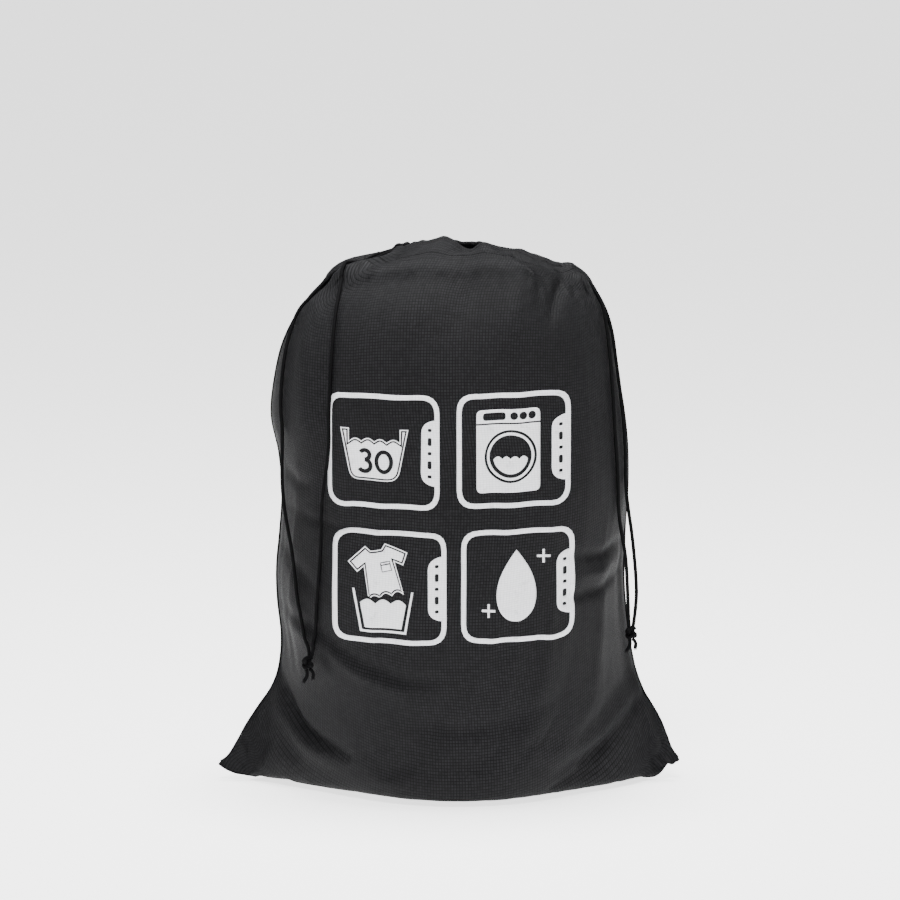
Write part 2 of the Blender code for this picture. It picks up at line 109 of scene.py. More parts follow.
# ---- the cloth
ACROSS, UPWARD = 90, 126      # cells across and up a panel, in the simulation
FINE = 5 / 3                  # cells of the finished panels to one of the simulation's
SLACK_ACROSS = 0.022          # spare cloth across the bag
SLACK_UP = 0.016              # spare cloth up the bag
SEAM_SLACK = 0.45             # share of the side seams' gathered length that the cloth keeps
CLOTH_CAP = 0.014             # how far the simulation may move the cloth
CLOTH_THICK = 0.0005
FLOOR_CLEAR = 0.0003
SIM_FRAMES = 26
FABRIC = {"quality": 6, "mass": 0.15, "tension_stiffness": 20, "compression_stiffness": 20,
          "shear_stiffness": 8, "bending_stiffness": 0.12, "pin_stiffness": 0.6, "use_pressure": True,
          "uniform_pressure_force": 0.8}
FLAT_GAP = 0.0005             # half the gap between the two cut cloths
HELD_ROWS, HELD_LEAST = 8, 0.05         # rows over which the mouth is held, and the hold elsewhere
HELD_BELOW, HELD_ON_FLOOR = 0.004, 0.6  # the cloth that lies on the floor, and how firmly it stays

# Folds pressed into the panels: a route, its half width and its depth. Ridges have less than 0.
FOLDS = {-1: [
    ([(-205, 142), (-196, 116), (-180, 90), (-157, 71), (-120, 56)], 6, 8.5),
    ([(-214, 118), (-196, 86), (-170, 60), (-140, 46)], 10, -5),
    ([(-199, 222), (-150, 200), (-110, 174), (-60, 157), (-15, 155)], 9, 4.2),
    ([(-190, 205), (-140, 184), (-100, 158), (-55, 142)], 8.5, -3),
    ([(-195, 345), (-140, 333), (-70, 337), (0, 334)], 6, 1.8),
    ([(-141, 600), (-143, 540), (-146, 470), (-148, 380), (-150, 330)], 10, 4.2),
    ([(-170, 585), (-172, 520), (-172, 450), (-170, 400)], 11, -3.4),
    ([(134, 622), (127, 598), (120, 570)], 7, 3.6),
    ([(90, 622), (78, 590), (70, 550)], 15, -2.6),
    ([(208, 303), (180, 292), (150, 296)], 7, 4.5),
    ([(206, 264), (178, 250), (140, 246)], 7, 3.8),
    ([(205, 283), (180, 271), (155, 270)], 7, -2.8),
    ([(130, 36), (181, 57), (215, 86), (238, 112)], 9, 5.5),
    ([(150, 75), (186, 100), (212, 135)], 10, 3.4),
    ([(160, 58), (200, 83), (226, 117)], 9, -3.4),
    ([(-262, 75), (-258, 50), (-254, 24)], 5, 5),
    ([(266, 62), (260, 44), (250, 26)], 5, 5),
    ([(-200, 300), (-178, 270), (-160, 250)], 9, 3.6),
    ([(-208, 400), (-186, 380), (-168, 376)], 8, 3.4),
    ([(-20, 640), (-46, 590), (-64, 540)], 20, -3),
    ([(18, 640), (14, 600), (4, 560)], 12, 3),
    ([(-60, 110), (0, 96), (70, 104), (130, 130)], 12, 2.4),
], 1: [
    ([(-200, 140), (-180, 100), (-140, 70), (-100, 55)], 9, 7),
    ([(205, 135), (190, 95), (150, 66), (105, 52)], 9, 7),
    ([(150, 210), (90, 176), (30, 166), (-40, 176)], 10, 4),
    ([(-190, 420), (-140, 404), (-80, 410)], 9, 3.6),
    ([(100, 600), (92, 550), (96, 500)], 14, 3.6),
    ([(-30, 620), (-46, 570), (-52, 520)], 14, 3.6),
    ([(30, 630), (28, 585), (20, 540)], 15, -3),
    ([(-256, 70), (-250, 45), (-244, 24)], 5, 4.5),
    ([(258, 68), (252, 44), (246, 24)], 5, 4.5),
]}
SWELL_REACH = 7               # cells over which the simulation's even swelling is measured
SWELL_TAKEN = 0.95            # share of that swelling that is taken away
WRINKLE_GAIN = 0.85
FOLD_GAIN = 1.35
SHOULDER_FROM = 0.90          # share of the panel's height where the shoulders' ridges start
SHOULDER_U, SHOULDER_WIDTH, SHOULDER_LIFT = 0.80, 0.09, 0.009
GATHER_DEPTH = {-1: 0.0004, 1: 0.0009}
WEAVE_PITCH = 0.0038
THREAD_PITCH = 0.0006
# Rows of the panel that the casing starts from, and how far it stands off them: it rises out of the
# panel's outer face, so that the cloth looks unbroken.
CASING_STARTS = [(-7, -0.0006), (-5, -0.00025), (-3, 0.00004), (-1, 0.0002)]
STITCH_STAND = 0.0002
LEFT_SINK = 0.55              # how much of the panel's top lift is left out at the left shoulder
COLLAR_END_U = 0.80           # the panel's top sinks from here, which leaves a valley for the cords
PLEAT_ROUTE = [(28, 664), (41, 658), (66, 643), (85, 632), (108, 619)]
PLEAT_LIFT, PLEAT_LENGTH, PLEAT_EDGE = 0.0066, 0.030, 0.0007
PLEAT_SLOPE, PLEAT_FADE = 0.88, 0.012
RIM_DIPS = {-1: [(0.0085, 0.026, 0.011), (-0.0055, 0.094, 0.026)],
            1: [(0.0065, 0.080, 0.036)]}   # depth, place and width; less than 0 is a rise
PLEAT_RISE_ROWS = 14          # rows of the casing over which the pleat swells out of it
CASING_END_U = 0.94
CASING_COLUMNS = 240
ROLL_DEPTH, ROLL_HEIGHT = 0.004, 0.0042   # where the casing starts to turn over, and how high it goes
BANDS_PER_UNIT = 0.31         # the wave texture's scale for one band a unit

# ---- cords, thread and ink
BRAID_STEP = 0.0009
BRAID_PITCH = 2 * pi / 0.0050 * 1.5
BRAID_RELIEF = 0.00016
CORD_REST = CORD_R + 0.0004   # height of a resting cord's middle over the cloth
REST_REACH = 0.012            # a cord higher than this over the cloth hangs free
ROUTE_STEPS = 24              # points of a route from each of its given points to the next
KNOT_DEPTH = 0.0034
KNOT_ENTRY = 0.0045           # height over the knot's middle where its strands run in
KNOT_STEP = 0.0005
BOW_SIZE, BOW_PLACE = (0.0052, 0.0026, 0.0048), (0.0, -0.0012, 0.0025)   # the knot's outer turn
TAIL_INSIDE, TAIL_BEND = 0.004, 0.0022
FRAY_HAIRS, FRAY_LENGTH, FRAY_SPREAD = 16, 0.0024, 0.0016
HAIR_RADIUS = 0.00022
STITCH_PITCH, STITCH_RADIUS = 0.0034, 0.00028
BARTACK_RADIUS = 0.00045
SEAM_RISE, SEAM_RADIUS, SEAM_SWELL = 0.0006, 0.0009, 0.00022
INK_THICK = 0.00025
PRINTS = {"tub": (-0.078, 0.426), "washer": (0.076, 0.428), "soak": (-0.070, 0.266),
          "drop": (0.081, 0.268)}
INK_GRID, INK_EDGE = 3.4, 3   # spacing of the points in the ink and along its outlines
PRINT_HALF, PRINT_LINE, PRINT_CORNER = 67, 5.7, 17
TAB_WIDTH, TAB_HALF = 22, 37

# ---- camera, light and floor
CAMERA_TARGET = (0.001, -0.120, 0.4235)
CAMERA_DISTANCE = 8.0
CAMERA_TILT = 10
VIEW_WIDTH = 1.056
LIGHTS = [("key", (-0.25, -1.9, 3.2), 1.2, 145.0), ("fill", (2.0, -2.2, 1.5), 1.6, 8.0),
          ("top", (0.0, 0.2, 2.7), 1.2, 165.0)]
WORLD_LIGHT = 0.12
STAGE_GLOW = 2.0
STAGE_DROP = 0.0002
STAGE_RADIUS = 60.0


def smooth_step(t):
    t = np.clip(t, 0.0, 1.0)
    return t * t * (3 - 2 * t)


def height_at(profile, x):
    if x <= profile[0][0]:
        return profile[0][1]
    for (x0, z0), (x1, z1) in zip(profile, profile[1:]):
        if x <= x1:
            return z0 + (z1 - z0) * smooth_step((x - x0) / (x1 - x0))
    return profile[-1][1]


def spline(points, places):
    """The Catmull-Rom curve through points, or through rows of them, at places counted in points."""
    points = np.asarray(points, float)
    flat = [1] * (points.ndim - 1)
    i = np.minimum(places.astype(int), len(points) - 2)
    t = (places - i).reshape(-1, *flat)
    wide = np.pad(points, [(1, 1)] + [(0, 0)] * len(flat), mode="reflect", reflect_type="odd")
    p0, p1, p2, p3 = (wide[i + k] for k in range(4))
    return p1 + 0.5 * t * ((p2 - p0) + (2 * p0 - 5 * p1 + 4 * p2 - p3) * t
                           + (3 * p1 - p0 - 3 * p2 + p3) * t * t)


def curve(points, steps):
    """The smooth curve through the points, with some steps from each to the next."""
    return spline(points, np.arange(steps * (len(points) - 1) + 1) / steps)


def distances(line):
    """How far along a line of points each of them lies, or along each column of a grid of points."""
    steps = np.linalg.norm(np.diff(line, axis=0), axis=-1)
    return np.concatenate([np.zeros((1, *steps.shape[1:])), np.cumsum(steps, axis=0)])


def read_line(line, marks, wanted):
    """Points of a line whose own points have increasing marks, at the wanted marks."""
    return np.stack([np.interp(wanted, marks, line[:, k]) for k in range(3)], axis=1)


def ring_point(side, u, out=0.0, down=0.0):
    """A point of the even casing, from -1 to 1 round the mouth, out from its rim and down from it."""
    angle = u * pi / 2
    middle, half = (MOUTH_LEFT + MOUTH_RIGHT) / 2, (MOUTH_RIGHT - MOUTH_LEFT) / 2
    depth = MOUTH_DEPTHS[side]
    x = middle + half * sin(angle)
    normal = Vector((sin(angle) / half, side * cos(angle) / depth)).normalized()
    out += down * HEM_SLANT
    y = side * depth * cos(angle)
    return np.array((x + normal.x * out, y + normal.y * out, height_at(RIMS[side], x) - down))


def panel_row(side, row):
    """One row of a panel, from the left seam round the front or back to the right seam."""
    depth, mid_z, left, left_z, right, right_z = metres(row[:6])
    angle = np.linspace(-pi / 2, pi / 2, ACROSS + 1)
    swell = np.maximum(np.cos(angle), 0.0) ** row[6]
    lift = np.abs(np.sin(angle)) ** (FLOOR_POWER if mid_z == 0 else SIDE_POWER)
    edge_z = np.where(angle < 0, left_z, right_z)
    return np.stack([(left + right) / 2 + (right - left) / 2 * np.sin(angle),
                     side * (depth - SEAM_DEPTH) * swell, mid_z + (edge_z - mid_z) * lift], axis=1)


def panel_grid(side):
    """The smooth panel as a grid of points, with rows evenly spread along its middle."""
    rows = [panel_row(side, row) for row in PANEL_ROWS]
    us = np.linspace(-1, 1, ACROSS + 1)
    under = np.array([ring_point(side, u, HEM_HALF, HEM_HEIGHT) for u in us])
    rim = np.array([ring_point(side, u, HEM_HALF, 0.0) for u in us])
    share = smooth_step((1 - np.abs(us)) / (1 - COLLAR_END_U))[:, None]
    share *= 1 - LEFT_SINK * np.clip((-us - 0.2) / 0.5, 0, 1)[:, None]
    rows.append(under * (1 - share) + (rows[-1] + rim) / 2 * share)
    rows[-1][0, 1] = rows[-1][-1, 1] = 0.0
    places = np.linspace(0, len(rows) - 1, 20 * len(rows))
    length = distances(spline(rows, places)[:, ACROSS // 2])
    return spline(rows, np.interp(np.linspace(0, length[-1], UPWARD + 1), length, places))


def flat_cloth(grid):
    """Where each point of a panel lies in the flat cut cloth: across from its middle, and up."""
    u, v = distances(grid.swapaxes(0, 1)).T, distances(grid)
    share = np.abs(np.linspace(-1, 1, ACROSS + 1)) ** 3 * (1 - SEAM_SLACK)
    up = v[:, [ACROSS // 2]] * (1 - share) + v * share
    return (u - u[:, [ACROSS // 2]]) * (1 + SLACK_ACROSS), up * (1 + SLACK_UP)


def grid_cells(rows, columns):
    """The four corners of each cell of a grid of points, counted row by row."""
    r, c = np.mgrid[0:rows - 1, 0:columns - 1]
    a = (r * columns + c).ravel()
    return np.stack([a, a + 1, a + columns + 1, a + columns], axis=1)


def sewn_mesh(front, back):
    """Both panels as one mesh that shares its points along the side and bottom seams."""
    rows, columns, _ = front.shape
    free = np.ones((rows, columns), bool)
    free[0] = free[:, 0] = free[:, -1] = False
    index = np.stack([np.arange(rows * columns).reshape(rows, columns)] * 2)
    index[1][free] = rows * columns + np.arange(free.sum())
    cells = grid_cells(rows, columns)
    faces = np.concatenate([index[0].ravel()[cells], index[1].ravel()[cells[:, [0, 3, 2, 1]]]])
    return np.concatenate([front.reshape(-1, 3), back[free]]), faces.tolist(), index


def simulate_cloth(front, back):
    """Settles the sewn cloth, whose flat cut is a little larger than the space it fills."""
    verts, faces, index = sewn_mesh(front, back)
    mesh = bpy.data.meshes.new("sewn_cloth")
    mesh.from_pydata(verts.tolist(), [], faces)
    cloth = bpy.data.objects.new("sewn_cloth", mesh)
    bpy.context.scene.collection.objects.link(cloth)
    cloth.shape_key_add(name="filled")
    flat = cloth.shape_key_add(name="flat_cut")
    cut, held = np.zeros(verts.shape), np.zeros(len(verts))
    rise = smooth_step((np.arange(UPWARD + 1) - (UPWARD - HELD_ROWS)) / HELD_ROWS)
    for grid, spots, apart in ((front, index[0], -FLAT_GAP), (back, index[1], FLAT_GAP)):
        u, v = flat_cloth(grid)
        cut[spots] = np.stack([u, np.where(index[0] == index[1], 0.0, apart), v], axis=2)
        held[spots] = np.maximum(rise, HELD_LEAST)[:, None]
    held[verts[:, 2] < HELD_BELOW] = np.maximum(held[verts[:, 2] < HELD_BELOW], HELD_ON_FLOOR)
    flat.data.foreach_set("co", cut.ravel())
    flat.value = 0.0
    hold = cloth.vertex_groups.new(name="hold")
    for i, weight in enumerate(held.tolist()):
        hold.add([i], weight, "REPLACE")
    sim = cloth.modifiers.new("Cloth", "CLOTH")
    for key, value in FABRIC.items():
        setattr(sim.settings, key, value)
    sim.settings.rest_shape_key = flat
    sim.settings.vertex_group_mass = "hold"
    sim.settings.effector_weights.gravity = 0.3
    sim.collision_settings.use_collision = False
    sim.point_cache.frame_start, sim.point_cache.frame_end = 1, SIM_FRAMES
    for number in range(1, SIM_FRAMES + 1):
        bpy.context.scene.frame_set(number)
    graph = bpy.context.evaluated_depsgraph_get()
    settled = cloth.evaluated_get(graph).to_mesh()
    result = np.array([tuple(v.co) for v in settled.vertices])
    cloth.evaluated_get(graph).to_mesh_clear()
    bpy.data.objects.remove(cloth)
    bpy.context.scene.frame_set(1)
    shift = result - verts
    far = np.linalg.norm(shift, axis=1, keepdims=True)
    result = verts + shift * (CLOTH_CAP * np.tanh(far / CLOTH_CAP) / np.maximum(far, 1e-9))
    result[:, 2] = np.maximum(result[:, 2], FLOOR_CLEAR)
    return result[index[0]], result[index[1]]


def blurred(field, reach, width, axes):
    """A field evened out along some axes, by a bell curve of some reach that is cut off at a width."""
    weights = np.exp(-0.5 * (np.arange(-width, width + 1) / reach) ** 2)
    weights /= weights.sum()
    for axis in axes:
        wide = np.pad(field, [(width * (k == axis),) * 2 for k in range(field.ndim)], mode="edge")
        field = np.apply_along_axis(np.convolve, axis, wide, weights, "valid")
    return field


def grid_normals(grid, side):
    """Outward normals of a panel's grid of points."""
    across = np.gradient(grid, axis=1)
    up = np.gradient(grid, axis=0)
    normals = np.cross(across, up) * (1 if side < 0 else -1)
    return normals / np.maximum(np.linalg.norm(normals, axis=2, keepdims=True), 1e-12)


def wrinkles_only(base, settled):
    """Keeps the settled cloth's wrinkles, and takes its even swelling and drift away."""
    shift = settled - base
    even = blurred(shift, SWELL_REACH, 2 * SWELL_REACH, (0, 1))
    return base + (shift - even * SWELL_TAKEN) * WRINKLE_GAIN


def finer(grid, rows, columns):
    """The grid of points at a finer spacing, on smooth curves both ways."""
    for count in (rows, columns):
        grid = spline(grid, np.linspace(0, len(grid) - 1, count)).swapaxes(0, 1)
    return grid


def fold_depth(x, z, route, half_width, depth):
    """How deep a fold along the route presses the cloth in at (x, z): it fades towards its ends."""
    points = curve(route, 8)
    near = np.full(x.shape, 1e9)
    along = np.zeros(x.shape)
    for i, (a, b) in enumerate(zip(points, points[1:])):
        d = b - a
        t = np.clip(((x - a[0]) * d[0] + (z - a[1]) * d[1]) / (d @ d), 0, 1)
        gap = np.hypot(x - a[0] - t * d[0], z - a[1] - t * d[1])
        closer = gap < near
        near = np.where(closer, gap, near)
        along = np.where(closer, (i + t) / (len(points) - 1), along)
    taper = np.sin(pi * np.clip(0.08 + 0.84 * along, 0, 1)) ** 0.7
    return FOLD_GAIN * depth * taper * np.exp(-(near / half_width) ** 2)


def pressed(grid, base, side):
    """Adds the folds, the shoulders beside the cord exits and the gathers under the casing."""
    x, z = base[:, :, 0], base[:, :, 2]
    depth = sum(fold_depth(x, z, metres(route), half_width / 1000, amount / 1000)
                for route, half_width, amount in FOLDS[side])
    offset = -depth * np.sin(np.linspace(0, pi, grid.shape[1])) ** 0.5
    rise = np.clip((np.linspace(0, 1, grid.shape[0]) - SHOULDER_FROM) / (1 - SHOULDER_FROM), 0, 1)
    u = np.linspace(-1, 1, grid.shape[1])
    ridge = np.exp(-((np.abs(u) - SHOULDER_U) / SHOULDER_WIDTH) ** 2)
    offset += SHOULDER_LIFT * np.sin(pi * np.minimum(rise * 0.55, 1))[:, None] * ridge
    offset += gathers(u, side)[None, :] * (rise ** 2)[:, None]
    if side < 0:
        offset += pleat(x, z)
    result = grid + grid_normals(grid, side) * offset[:, :, None]
    result[:, :, 2] = np.maximum(result[:, :, 2], FLOOR_CLEAR)
    return result


def pleat(x, z):
    """The pleat that runs down from the front's rim: a sharp edge along its upper side."""
    edge_x, edge_z = metres(PLEAT_ROUTE).T
    below = (np.interp(x, edge_x, edge_z) - z) * PLEAT_SLOPE
    raised = PLEAT_LIFT / (1 + np.exp(-np.clip(below / PLEAT_EDGE, -40, 40)))
    ends = np.clip((x - edge_x[0]) / PLEAT_FADE, 0, 1) * np.clip((edge_x[-1] - x) / PLEAT_FADE, 0, 1)
    return raised * np.exp(-np.maximum(below, 0) / PLEAT_LENGTH) * ends


def gathers(u, side):
    """The ripple of the gathered cloth round the mouth, outwards."""
    u = np.asarray(u)
    ripple = np.sin(u * 21 + side) + 0.7 * np.sin(u * 37 + 2.1 * side) + 0.4 * np.sin(u * 58 + side)
    return GATHER_DEPTH[side] * ripple * np.cos(u * pi / 2) ** 0.5


# ---- making pieces
def make_mesh(name, verts, faces, material, uv=None):
    """A smooth mesh object; uv holds a place in metres for each corner of each face."""
    mesh = bpy.data.meshes.new(name)
    mesh.from_pydata([tuple(map(float, v)) for v in verts], [], faces)
    if uv is not None:
        layer = mesh.uv_layers.new(name="Flat")
        layer.data.foreach_set("uv", np.asarray(uv, np.float32).ravel())
    mesh.shade_smooth()
    mesh.materials.append(material)
    piece = bpy.data.objects.new(name, mesh)
    bpy.context.scene.collection.objects.link(piece)
    return piece


def settle_in(piece, node, body="bag"):
    """Ties a finished piece to its body and hides the CAD node it stands for."""
    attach(piece, body)
    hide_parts(node)
    return piece


def shell(name, outer, uv_grid, thick, side, material):
    """A closed sheet of cloth: the outer grid, an inner one under it and a rim all round."""
    rows, columns, _ = outer.shape
    inner = outer - grid_normals(outer, side) * thick
    count = rows * columns
    top = grid_cells(rows, columns)
    index = np.arange(count).reshape(rows, columns)
    loop = np.concatenate([index[0], index[1:, -1], index[-1, -2::-1], index[-2::-1, 0]])
    rim = np.stack([loop[1:], loop[:-1], loop[:-1] + count, loop[1:] + count], axis=1)
    if side > 0:
        top, rim = top[:, ::-1], rim[:, ::-1]
    faces = np.concatenate([top, top[:, ::-1] + count, rim])
    flat = np.concatenate([uv_grid.reshape(-1, 2)] * 2)
    verts = np.concatenate([outer.reshape(-1, 3), inner.reshape(-1, 3)])
    return make_mesh(name, verts, faces.tolist(), material, flat[faces.ravel()])


def tube(name, path, radius, material, sides=12, step=None, relief=None):
    """A round tube along a path, closed at both ends; relief(angle, distance) swells its radius."""
    path = np.asarray(path, float)
    length = distances(path)
    if step:
        wanted = np.linspace(0, length[-1], max(int(length[-1] / step), 2) + 1)
        path, length = read_line(path, length, wanted), wanted
    ahead = np.gradient(path, axis=0)
    ahead /= np.linalg.norm(ahead, axis=1, keepdims=True)
    beside = np.cross(ahead[0], (0.0, 0.0, 1.0) if abs(ahead[0][2]) < 0.9 else (0.0, 1.0, 0.0))
    turn = np.linspace(0, 2 * pi, sides, endpoint=False)
    verts = []
    for i, centre in enumerate(path):
        beside = beside - ahead[i] * (beside @ ahead[i])
        beside /= np.linalg.norm(beside)
        across = np.cross(ahead[i], beside)
        swell = radius if relief is None else radius + relief(turn, length[i])
        ring = np.outer(np.cos(turn) * swell, beside) + np.outer(np.sin(turn) * swell, across)
        verts.append(centre + ring)
    i, j = (grid.ravel() for grid in np.mgrid[0:len(path) - 1, 0:sides])
    a, b = i * sides + j, i * sides + (j + 1) % sides
    faces = np.stack([a, b, b + sides, a + sides], axis=1).tolist()
    low, high = 2 * pi * radius * j / sides, 2 * pi * radius * (j + 1) / sides
    uv = np.stack([low, length[i], high, length[i], high, length[i + 1], low, length[i + 1]], axis=1)
    caps = [list(range(sides))[::-1], [(len(path) - 1) * sides + k for k in range(sides)]]
    flat = np.concatenate([uv.reshape(-1, 2), np.zeros((2 * sides, 2))])
    return make_mesh(name, np.concatenate(verts), faces + caps, material, flat)


def braid(turn, distance):
    """The small swell of a braided cord's crossing strands."""
    one = np.sin(3 * turn + distance * BRAID_PITCH)
    other = np.sin(3 * turn - distance * BRAID_PITCH)
    return BRAID_RELIEF * (np.maximum(one, other) - 0.4)


def joined(name, pieces):
    """Several mesh objects as one object under a new name."""
    verts, faces, uv, start = [], [], [], 0
    for piece in pieces:
        mesh = piece.data
        verts += [tuple(v.co) for v in mesh.vertices]
        faces += [tuple(i + start for i in face.vertices) for face in mesh.polygons]
        uv += [tuple(item.uv) for item in mesh.uv_layers["Flat"].data]
        start += len(mesh.vertices)
    material = pieces[0].data.materials[0]
    for piece in pieces:
        bpy.data.meshes.remove(piece.data)
    return make_mesh(name, verts, faces, material, uv)


# ---- materials
def new_material(name, colour, roughness, gloss=0.5):
    material = bpy.data.materials.new(name)
    material.use_nodes = True
    shader = material.node_tree.nodes["Principled BSDF"]
    feed(material, shader, {"Base Color": (*colour, 1.0), "Roughness": roughness,
                            "Specular IOR Level": gloss})
    return material, shader


def feed(material, node, inputs):
    """Sets a node's inputs to values, or links them to other nodes' outputs, given as [node, output]."""
    for key, value in inputs.items():
        if isinstance(value, list):
            material.node_tree.links.new(value[0].outputs[value[1]], node.inputs[key])
        else:
            node.inputs[key].default_value = value


def add_node(material, kind, inputs=(), **settings):
    """A new node, with its inputs fed by name and its own settings."""
    node = material.node_tree.nodes.new(kind)
    for key, value in settings.items():
        setattr(node, key, value)
    feed(material, node, dict(inputs))
    return node


def mixed(material, blend_type, share, first, second):
    """A colour mix of two outputs, itself as an output."""
    return [add_node(material, "ShaderNodeMix", {0: share, 6: first, 7: second}, data_type="RGBA",
                     blend_type=blend_type), 2]


def ramp(material, source, stops):
    """A colour ramp over an output, with (place, colour) stops, itself as an output."""
    node = add_node(material, "ShaderNodeValToRGB", {"Fac": source})
    for element, (place, colour) in zip(node.color_ramp.elements, stops):
        element.position = place
        element.color = (*colour, 1.0)
    return [node, "Color"]


def grey(value):
    return (value, value, value)


def weave_node(material, mortar, smooth, width, height, *colours):
    """The woven pattern as small bricks: share and softness of the gaps, brick sizes and colours."""
    names = ("Color1", "Color2", "Mortar")
    return add_node(material, "ShaderNodeTexBrick",
                    {"Vector": flat_place(material), "Scale": 1 / WEAVE_PITCH, "Mortar Size": mortar,
                     "Mortar Smooth": smooth, "Brick Width": width, "Row Height": height,
                     **{name: (*colour, 1) for name, colour in zip(names, colours)}}, offset=0.0)


def thread_bands(material, place, pitch, distortion):
    """Fine bands with some pitch across a place on the cloth or along a cord, as an output."""
    return [add_node(material, "ShaderNodeTexWave",
                     {"Vector": place, "Scale": BANDS_PER_UNIT / pitch, "Distortion": distortion},
                     wave_type="BANDS", bands_direction="X"), "Fac"]


def noise(material, scale, detail, **inputs):
    """Uneven patches over the object, as an output."""
    place = [add_node(material, "ShaderNodeTexCoord"), "Object"]
    return [add_node(material, "ShaderNodeTexNoise",
                     {"Vector": place, "Scale": scale, "Detail": detail, **inputs}), "Fac"]


def flat_place(material):
    """The place on the flat cloth, or round and along a cord, in metres."""
    return [add_node(material, "ShaderNodeUVMap", uv_map="Flat"), "UV"]


def finish_material(material, shader, height, strength, depth, invert=False, **inputs):
    """Feeds the shader its inputs, and a bump from a height output."""
    bump = add_node(material, "ShaderNodeBump",
                    {"Strength": strength, "Distance": depth, "Height": height}, invert=invert)
    feed(material, shader, {"Normal": [bump, "Normal"], **inputs})
    return material


def cloth_material():
    """Black polyester with a waffle of small dashes, finer threads, and uneven tone and gloss."""
    material, shader = new_material("black_polyester_weave", (0.012, 0.012, 0.013), 0.55, 0.07)
    weave = weave_node(material, 0.20, 0.9, 0.92, 1.0, (0.0150, 0.0150, 0.0163),
                       (0.0100, 0.0100, 0.0109), (0.0016, 0.0016, 0.0019))
    thread = thread_bands(material, flat_place(material), THREAD_PITCH, 0.6)
    tone = noise(material, 7.0, 4.0)
    light = ramp(material, tone, [(0.30, grey(0.72)), (0.72, grey(1.0))])
    gloss = ramp(material, tone, [(0.25, grey(0.52)), (0.75, grey(0.66))])
    height = mixed(material, "ADD", 0.25, [weave, "Fac"], thread)
    crinkle = mixed(material, "SUBTRACT", 0.5, noise(material, 60.0, 3.0), height)
    colour = mixed(material, "MULTIPLY", 1.0, [weave, "Color"], light)
    return finish_material(material, shader, crinkle, 0.9, 0.0007, Roughness=gloss,
                           **{"Base Color": colour})


def thread_material(name, colour, roughness, pitch):
    """Twisted or braided thread: fine slanted bands along it, lighter and darker."""
    material, shader = new_material(name, colour, roughness, 0.05)
    turned = add_node(material, "ShaderNodeMapping",
                      {"Vector": flat_place(material), "Rotation": (0.0, 0.0, radians(35))})
    bands = thread_bands(material, [turned, "Vector"], pitch, 0.4)
    tint = ramp(material, bands, [(0, [c * 0.45 for c in colour]), (1, [c * 1.5 for c in colour])])
    return finish_material(material, shader, bands, 0.5, 0.0002, **{"Base Color": tint})


def ink_material():
    """Pale screen-print ink that shows the weave under it and is a little worn."""
    material, shader = new_material("pale_screen_ink", (0.70, 0.70, 0.72), 0.5)
    weave = weave_node(material, 0.10, 1.0, 1.0, 0.72, (0.74, 0.74, 0.76), (0.68, 0.68, 0.70),
                       (0.50, 0.50, 0.52))
    wear = ramp(material, noise(material, 90.0, 6.0, Roughness=0.7),
                [(0.22, grey(0.62)), (0.42, grey(1.0))])
    colour = mixed(material, "MULTIPLY", 1.0, [weave, "Color"], wear)
    return finish_material(material, shader, [weave, "Fac"], 0.4, 0.0002, invert=True,
                           **{"Base Color": colour})


def stage_material():
    """A pale floor that glows, so that it stays light all round."""
    material, shader = new_material("pale_stage", (0.88, 0.88, 0.88), 0.85)
    return finish_material(material, shader, noise(material, 40.0, 2.0), 0.02, 0.001,
                           **{"Emission Color": (1.0, 1.0, 1.0, 1.0), "Emission Strength": STAGE_GLOW})


# ---- camera, light and floor
def look_at(thing, target):
    thing.rotation_euler = (Vector(target) - thing.location).to_track_quat("-Z", "Y").to_euler()


def link_in(thing):
    bpy.context.scene.collection.objects.link(thing)
    return thing


def make_camera():
    camera = link_in(bpy.data.objects.new("camera", bpy.data.cameras.new("camera")))
    tilt = radians(CAMERA_TILT)
    camera.location = Vector(CAMERA_TARGET) + CAMERA_DISTANCE * Vector((0.0, -cos(tilt), sin(tilt)))
    look_at(camera, CAMERA_TARGET)
    camera.data.sensor_width = 36
    camera.data.lens = 36 * CAMERA_DISTANCE / VIEW_WIDTH
    camera.data.clip_start = 0.05
    bpy.context.scene.camera = camera


def make_lights():
    for name, place, size, power in LIGHTS:
        data = bpy.data.lights.new(name, "AREA")
        data.shape = "DISK"
        data.size = size
        data.energy = power
        lamp = link_in(bpy.data.objects.new(name, data))
        lamp.location = place
        look_at(lamp, (0.0, 0.0, 0.35))
    world = bpy.data.worlds.new("studio")
    bpy.context.scene.world = world
    world.use_nodes = True
    background = world.node_tree.nodes["Background"].inputs
    background["Color"].default_value = (1.0, 1.0, 1.0, 1.0)
    background["Strength"].default_value = WORLD_LIGHT


def make_stage():
    """A wide pale floor."""
    verts = [(STAGE_RADIUS * cos(2 * pi * i / 64), STAGE_RADIUS * sin(2 * pi * i / 64), -STAGE_DROP)
             for i in range(64)]
    make_mesh("studio_floor", verts, [tuple(range(64))], stage_material())


# ---- cords
def cord_route(name):
    """A strand's route from its exit into its knot, closely spaced."""
    into_knot = np.array(KNOTS[name.split("_")[0]]) + (0.0, 0.0, KNOT_ENTRY)
    return curve([*metres(STRANDS[name]), into_knot], ROUTE_STEPS)


def over_cloth(point, cloth):
    """A point's height over the nearest cloth, and that cloth's outward normal."""
    near, normal, _, _ = cloth.find_nearest(Vector(point))
    return (Vector(point) - near).dot(normal), np.array(normal)


